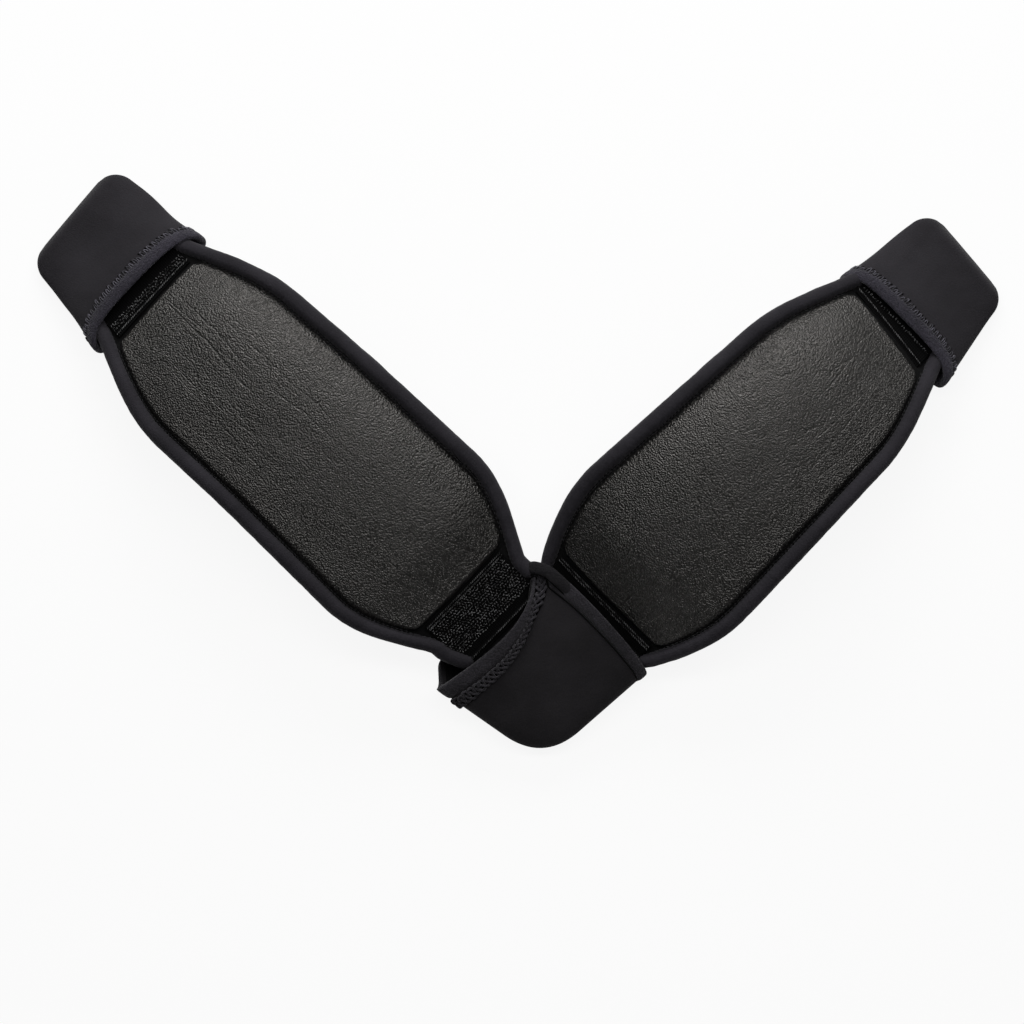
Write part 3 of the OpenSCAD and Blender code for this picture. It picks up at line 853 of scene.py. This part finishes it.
def overlock(name, body, spot, near, far, start, stop, count):
    """A dense row of short uneven stitches that sews a hem down, with painted shade in each stitch's needle
    hole.
    """
    lines, hole_shades = [], []
    angles = even_angles(spot, start, stop, count)
    for i, (here, after) in enumerate(zip(angles, angles[1:])):
        step = after - here
        inner = near + 0.6 * lump(i * 1.7, 1, 0, 52)
        outer = far + 1.1 * lump(i * 1.3, 2, 0, 53)
        here += 0.35 * step * lump(i * 1.1, 3, 0, 55)
        stitch = ((inner, 0, 0.0), (inner + 0.3, 0, 0.7), (outer, 0.15, 0.5),
                  (outer + 0.3, 0.45, 0.4), (outer - 0.4, 0.6, 0.6), (inner, 0.5, 0.0))
        # painted shade: a short near-black thread in each needle hole
        hole = ((outer - 0.3, 0.72, 0.05), (outer + 0.5, 0.8, 0.05))
        lines.append([spot(reach, here + share * step, high) for reach, share, high in stitch])
        hole_shades.append([spot(reach, here + share * step, high) for reach, share, high in hole])
    threads(name + "_holes", hole_shades, 0.34, body, "painted_shade_thread")
    threads(name, lines, 0.24, body, "pale_thread", resolution=1)


def braid(name, body, spot, near, far, start, stop, repeats):
    """Three strands of folded cloth worked over and under each other, over near-black threads that paint the
    shade between them.
    """
    strands, strand_steps = 3, 8
    middle, swing = (near + far) / 2, (far - near) / 2 - 0.8
    angles = even_angles(spot, start, stop, repeats * strand_steps)
    # painted shade: near-black threads under the strands, darkening the gaps between them
    shade_bed = [[spot(middle + swing * side, angle, -0.35) for angle in angles[::3]] for side in (-0.8, 0, 0.8)]
    threads(name + "_bed", shade_bed, 0.95, body, "painted_shade_thread")
    lines = []
    for strand in range(strands):
        points = []
        for i, angle in enumerate(angles):
            turn = FULL_TURN * (i / strand_steps + strand / strands)
            reach = middle + swing * math.sin(turn) + 0.5 * lump(i * 0.4, strand, 0, 54)
            points.append(spot(reach, angle, 0.75 + 0.6 * math.sin(2 * turn)))
        lines.append(points)
    threads(name, lines, 0.58, body, "apex_hem", resolution=2)


# ---- apex sleeve ----------------------------------------------------------------

class Elbow:
    """The shared sleeve: a flat tube that turns from the left strap's mouth to the right
    one's about the crotch of the V. q runs from the left mouth to the right one, and the
    angle runs round the tube: 0 at the outer wall, a quarter turn on top, half a turn at
    the crotch. Places are in millimetres until spot gives metres."""

    corner_l = LEFT.world(24.5, -36.9, 0) / MM
    corner_r = RIGHT.world(28.5, -32.6, 0) / MM
    crotch_l = LEFT.world(31.3, 26.2, 0) / MM
    crotch_r = RIGHT.world(30.0, 28.4, 0) / MM
    elbow = (LEFT.world(-28.5, -28.3, 0) / MM + RIGHT.world(-28.5, -30.0, 0) / MM) / 2
    bend = 20.0                 # from the elbow to where its curve starts
    mouth_top = 20.0            # height of the roof at the mouths
    sag = 7.0                   # how much lower it is at the elbow
    lay_left = Vector((math.cos(LEFT.turn), math.sin(LEFT.turn), 0))
    lay_right = Vector((math.cos(RIGHT.turn), math.sin(RIGHT.turn), 0))
    lengths = {}                # the way from mouth to mouth, by the angle round the tube

    def outer(self, q):
        """A place on the outer wall: two straight runs joined by a curve at the elbow."""
        a, c, b = self.corner_l, self.elbow, self.corner_r
        la, lb = (c - a).length, (b - c).length
        run = q * (la + lb)
        ua, ub = (a - c) / la, (b - c) / lb
        r = self.bend
        if run < la - r:
            return a - ua * run
        if run > la + r:
            return c + ub * (run - la)
        t = (run - (la - r)) / (2 * r)
        return (c + ua * r) * (1 - t) ** 2 + c * 2 * t * (1 - t) + (c + ub * r) * t * t

    def spot(self, q, angle, grow=0.0):
        """A place on the sleeve, moved out from its surface by grow."""
        q = min(1, max(0, q))
        o = self.outer(q)
        i = self.crotch_l + (self.crotch_r - self.crotch_l) * q
        c, k = ring(angle, 2.7 + 0.5 * abs(2 * q - 1))
        span = (o - i).length
        at = (o + i) / 2 + (o - i) / span * (span / 2 + grow) * c
        near_l = 1 - smooth(q / 0.45)
        near_r = smooth((q - 0.6) / 0.4)
        flat = math.sqrt(max(0, 1 - c * c))
        low = smooth(-1.6 * k)
        if k > 0:
            lean_l = -(8.4 - 4.8 * c) * flat ** 1.4
            lean_r = 3.3 * flat
        else:
            lean_l = (3.6 + 3.6 * c) * low * (1 - smooth((c - 0.7) / 0.3))
            lean_r = -6.0 * flat * low
        at = at + self.lay_left * lean_l * near_l
        at = at + self.lay_right * lean_r * near_r
        top = self.mouth_top - self.sag * (1 - near_l) * (1 - near_r) * (0.5 + 0.5 * c) ** 0.8
        z = max(above_board(grow), top / 2 + (top / 2 + grow) * k)
        if k > 0:
            z += 0.45 * lump(at.x / 15, at.y / 15, 0, 41) * k
        return Vector((at.x, at.y, z)) * MM

    def share(self, reach, angle):
        """A distance in from a mouth, as a share of the way to the other mouth. Where the
        way is shorter than least_way the distance shrinks with it."""
        least_way, parts = 17, 16
        key = round(angle, 5)
        if key not in self.lengths:
            spots = [self.spot(i / parts, angle) for i in range(parts + 1)]
            self.lengths[key] = sum((b - a).length for a, b in zip(spots, spots[1:])) / MM
        length = self.lengths[key]
        return reach * min(1, length / least_way) / length

    def left_edge(self, reach, angle, grow=0.0):
        return self.spot(self.share(reach, angle), angle, grow)

    def right_edge(self, reach, angle, grow=0.0):
        return self.spot(1 - self.share(reach, angle), angle, grow)


ELBOW = Elbow()


def apex_sleeve():
    """The neoprene tube between the two hems."""
    hem_cover = 1.2

    def place(a, b):
        angle = FULL_TURN * b
        start, stop = ELBOW.share(hem_cover, angle), 1 - ELBOW.share(hem_cover, angle)
        return ELBOW.spot(start + a * (stop - start), angle)

    bm = warped_grid(110, 120, place, closed=True)
    bmesh.ops.recalc_face_normals(bm, faces=bm.faces)
    bm.normal_update()
    roof = [f for f in bm.faces if f.calc_center_median().z > 10 * MM]
    if sum(f.normal.z for f in roof) < 0:
        bmesh.ops.reverse_faces(bm, faces=bm.faces)
    bmesh.ops.solidify(bm, geom=bm.faces, thickness=2.0 * MM)
    finish_piece(bm, "apex_cover_shell", "right_strap", "apex_shell", "apex_sleeve")


def apex_shade_sheet():
    """A near-black sheet on the sleeve's lower wall, inside the open left mouth: painted shade."""
    def place(a, b):
        return ELBOW.spot(0.02 + 0.3 * a, math.pi * (1.02 + 0.96 * b), -2.4)

    bm = warped_grid(24, 60, place)
    give_wall(bm, 0.3, UP)
    finish_piece(bm, "apex_inner_cloth", "right_strap", "inside")


def curve_through(points, a):
    """A place on a smooth curve through points, by its share of the way."""
    last = len(points) - 1
    i = min(int(a * last), last - 1)
    t = a * last - i
    quad = (points[max(0, i - 1)], points[i], points[i + 1], points[min(last, i + 2)])
    spot = []
    for p0, p1, p2, p3 in zip(*quad):
        cubic = 2 * p0 - 5 * p1 + 4 * p2 - p3 + t * (3 * (p1 - p2) + p3 - p0)
        spot.append(p1 + 0.5 * t * (p2 - p0 + t * cubic))
    return Vector(spot)


def crotch_flap():
    """The right mouth's hem, folded over the crotch onto the left strap's end, and a near-black thread
    beside it that paints the shadow along its edge."""
    path = ((23.6, 32.6, 18.6), (26.4, 31.0, 19.6), (29.0, 26.0, 20.6), (29.7, 19.5, 20.7),
            (30.0, 11.0, 18.6))
    half_wide = 2.5
    shadow_points = 33

    def aside(a):
        ahead = curve_through(path, min(1, a + 0.01)) - curve_through(path, max(0, a - 0.01))
        return Vector((-ahead.y, ahead.x, 0)).normalized()

    def place(a, b):
        c, k = ring(FULL_TURN * b, 2.6)
        close = rounded(min(a, 1 - a) / 0.12, 0.03)
        wrinkle = 0.2 * lump(6 * a, c, k, 61)
        spot = curve_through(path, a) + aside(a) * (half_wide + wrinkle) * c * close
        return RIGHT.world(spot.x, spot.y, spot.z + (0.6 * k + 0.6 * wrinkle) * close - 0.6 * c * c)

    # painted shadow: a near-black thread along the fold's lower edge
    rim = []
    for i in range(shadow_points):
        a = 0.04 + 0.92 * i / (shadow_points - 1)
        spot = curve_through(path, a) + aside(a) * -(half_wide + 0.2)
        rim.append(RIGHT.world(spot.x, spot.y, spot.z - 0.6))
    threads("apex_crotch_painted_shadow", [rim], 0.42, "right_strap", "painted_shade_thread")

    bm = warped_grid(60, 20, place, closed=True)
    close_ends(bm)
    finish_piece(bm, "apex_crotch_fold", "right_strap", "flap")


# ---- build ----------------------------------------------------------------------

FACE_GAP = 0.8          # between the leather and a tape
PAD_GAP = 0.6           # between a tape and the end of the pad

for strap in STRAPS:
    leather_face(strap)
    foam_core(strap)
    lining(strap)
    binding(strap, 1)
    binding(strap, -1)
    binding_stitches(strap)
    near, far = strap.face_in - FACE_GAP, strap.face_out + FACE_GAP
    loop_tape(strap, "apex", strap.pad_in + PAD_GAP, near, nap=(strap.nap_start, near - 2.2),
              cords=(near - 0.8, near - 2.0, strap.nap_start - 4.4))
    loop_tape(strap, "end", far, strap.pad_out - PAD_GAP, nap=(far + 2.5, far + strap.nap_wide),
              cords=(far + 1.3,))

for pocket in (LEFT_POCKET, RIGHT_POCKET):
    side = pocket.strap.name + "_end"
    cover = side + "_cover"
    end_sleeve(pocket)
    hem_ring(side + "_fold", cover, pocket.at, HEM, "hem", side + "_hem")
    overlock(side + "_thread", cover, pocket.at, HEM - 0.7, HEM + 1.4, -0.2, math.pi + 0.2, 38)

    def under_roof(a, b, sink, pocket=pocket):
        angle = math.radians(50 + 80 * b)
        return pocket.spot(pocket.hem_top + 7 + 16 * a, angle, -pocket.wall - 0.2 - sink)

    hook_tape(side + "_hooks", cover, under_roof, side + "_hook_tape")


def under_elbow(a, b, sink):
    return ELBOW.spot(0.18 + 0.14 * a, math.radians(55 + 60 * b), -2.5 - sink)


apex_sleeve()
hem_ring("apex_left_fold", "right_strap", ELBOW.left_edge, 6.6, "apex_hem", "apex_left_hem",
         thick=2.4, columns=170)
hem_ring("apex_right_fold", "right_strap", ELBOW.right_edge, 4.6, "apex_hem", "apex_right_hem",
         columns=170)
braid("apex_left_braid", "right_strap", ELBOW.left_edge, 6.4, 12.6, -0.12, 0.93 * math.pi, 10)
# painted shadow: a near-black thread along the fold line of the right mouth's hem
groove = [ELBOW.right_edge(4.9, 0.05 * math.pi + 0.9 * math.pi * i / 60, 0.05) for i in range(61)]
threads("apex_right_painted_shadow", [groove], 0.42, "right_strap", "painted_shade_thread")
apex_shade_sheet()
crotch_flap()
hook_tape("apex_hooks", "right_strap", under_elbow, "apex_hook_tape")

for name, node in frame["nodes"].items():
    if node.hide_render:
        continue
    node.data.materials.clear()
    node.data.materials.append(MATS["steel" if "eyelet" in name else "webbing"])


# ---- stage, light and camera ----------------------------------------------------

VIEW_CENTRE = (-0.01225, 0.0635)
VIEW_WIDTH = 0.4267
LENS = 180
SENSOR = 36
WHITE = (1, 1, 1, 1)


def floor_material():
    """White where it is seen, pale grey for the light that it gives back."""
    m = Mat("floor", 0.9)
    m.shader.inputs["Base Color"].default_value = (0.8, 0.8, 0.8, 1)

    def rays(kind):
        return m.node("ShaderNodeLightPath", out=f"Is {kind} Ray")

    seen = m.between(rays("Camera") + rays("Glossy") + rays("Transmission"), 0.0, 1.0, 0.0, 0.9)
    glow = m.node("ShaderNodeEmission", None, {"Color": WHITE, "Strength": 1.0})
    both = m.node("ShaderNodeMixShader", None, {0: seen, 1: Val(m, m.shader.outputs[0]), 2: glow})
    m.links.new(both.socket, m.nodes["Material Output"].inputs["Surface"])
    return m.data


def floor():
    """The board that the part lies on, and the white behind it."""
    bm = bmesh.new()
    bmesh.ops.create_grid(bm, x_segments=1, y_segments=1, size=6)
    mesh = bpy.data.meshes.new("floor")
    bm.to_mesh(mesh)
    bm.free()
    mesh.materials.append(floor_material())
    board = bpy.data.objects.new("floor", mesh)
    board.location.z = -0.0002
    bpy.context.scene.collection.objects.link(board)


def softbox(name, place, aim, size, power):
    """A rectangular lamp that faces a place."""
    lamp = bpy.data.lights.new(name, "AREA")
    lamp.shape = "RECTANGLE"
    lamp.size, lamp.size_y = size
    lamp.energy = power
    box = bpy.data.objects.new(name, lamp)
    box.location = place
    box.rotation_euler = (Vector(aim) - Vector(place)).to_track_quat("-Z", "Y").to_euler()
    bpy.context.scene.collection.objects.link(box)


floor()
softbox("key", (0.0, 1.10, 0.50), (0, 0.06, 0), (0.9, 0.35), 10.5)
softbox("gloss", (0.0, 0.53, 1.20), (0, 0.06, 0), (2.0, 0.24), 13)
softbox("low", (0.0, -0.70, 0.70), (0, 0.02, 0), (0.7, 0.3), 0.7)

world = bpy.data.worlds.new("studio")
world.use_nodes = True
world.node_tree.nodes["Background"].inputs["Color"].default_value = WHITE
world.node_tree.nodes["Background"].inputs["Strength"].default_value = 0.03

camera_data = bpy.data.cameras.new("camera")
camera_data.lens = LENS
camera_data.sensor_width = SENSOR
camera = bpy.data.objects.new("camera", camera_data)
camera.location = (*VIEW_CENTRE, VIEW_WIDTH * LENS / SENSOR)
bpy.context.scene.collection.objects.link(camera)

scene = bpy.context.scene
scene.world = world
scene.camera = camera
scene.view_settings.view_transform = "Standard"
